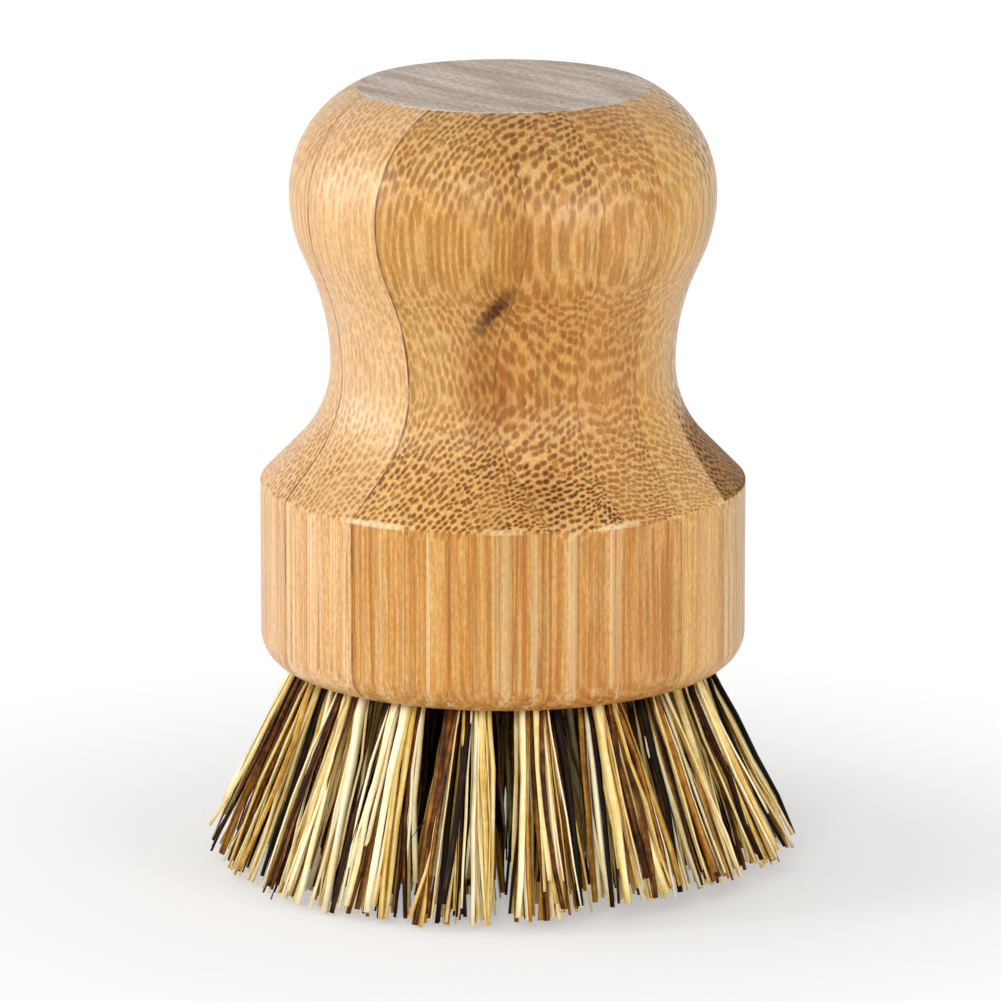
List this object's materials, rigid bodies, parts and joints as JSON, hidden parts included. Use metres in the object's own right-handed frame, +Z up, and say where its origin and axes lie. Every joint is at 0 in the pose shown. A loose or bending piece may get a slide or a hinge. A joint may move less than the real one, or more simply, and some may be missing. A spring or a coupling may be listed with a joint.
{
  "type": "dish brush",
  "caption": "Palm-grip dish brush: turned laminated bamboo block with a mushroom knob, waist and flared rim, and fanned tufts of mixed plant fibre for scrubbing pots.",
  "frame": {"origin": "on the block's turning axis, in the plane that the bristle tips stand on", "axes": "+Z up along the turning axis from the bristle tips to the flat top; the picture looks along +Y"},
  "size_m": [0.0678, 0.067, 0.09],
  "materials": {
    "bamboo_pale": "oiled satin",
    "bamboo_honey": "oiled satin",
    "bamboo_amber": "oiled satin",
    "plant_fibre": "matte mixed plant fibre",
    "anchor_wire": "drawn flat wire"
  },
  "bodies": {
    "root": {"bamboo_slat_1a": "bamboo_honey", "bamboo_slat_1b": "bamboo_pale", "bamboo_slat_1c": "bamboo_honey", "bamboo_slat_2a": "bamboo_amber", "bamboo_slat_2b": "bamboo_honey", "bamboo_slat_2c": "bamboo_honey", "bamboo_slat_3a": "bamboo_pale", "bamboo_slat_3b": "bamboo_amber", "bamboo_slat_4a": "bamboo_honey", "bamboo_slat_4b": "bamboo_honey", "bamboo_slat_4c": "bamboo_pale", "bamboo_slat_5a": "bamboo_honey", "bamboo_slat_5b": "bamboo_amber", "bamboo_slat_5c": "bamboo_honey", "tuft_anchors": "anchor_wire", "tuft_centre": "plant_fibre", "tuft_ring1_01": "plant_fibre", "tuft_ring1_02": "plant_fibre", "tuft_ring1_03": "plant_fibre", "tuft_ring1_04": "plant_fibre", "tuft_ring1_05": "plant_fibre", "tuft_ring1_06": "plant_fibre", "tuft_ring2_01": "plant_fibre", "tuft_ring2_02": "plant_fibre", "tuft_ring2_03": "plant_fibre", "tuft_ring2_04": "plant_fibre", "tuft_ring2_05": "plant_fibre", "tuft_ring2_06": "plant_fibre", "tuft_ring2_07": "plant_fibre", "tuft_ring2_08": "plant_fibre", "tuft_ring2_09": "plant_fibre", "tuft_ring2_10": "plant_fibre", "tuft_ring2_11": "plant_fibre", "tuft_ring2_12": "plant_fibre", "tuft_ring3_01": "plant_fibre", "tuft_ring3_02": "plant_fibre", "tuft_ring3_03": "plant_fibre", "tuft_ring3_04": "plant_fibre", "tuft_ring3_05": "plant_fibre", "tuft_ring3_06": "plant_fibre", "tuft_ring3_07": "plant_fibre", "tuft_ring3_08": "plant_fibre", "tuft_ring3_09": "plant_fibre", "tuft_ring3_10": "plant_fibre", "tuft_ring3_11": "plant_fibre", "tuft_ring3_12": "plant_fibre", "tuft_ring3_13": "plant_fibre", "tuft_ring3_14": "plant_fibre", "tuft_ring3_15": "plant_fibre", "tuft_ring3_16": "plant_fibre", "tuft_ring3_17": "plant_fibre", "tuft_ring3_18": "plant_fibre"}
  },
  "joints": []
}
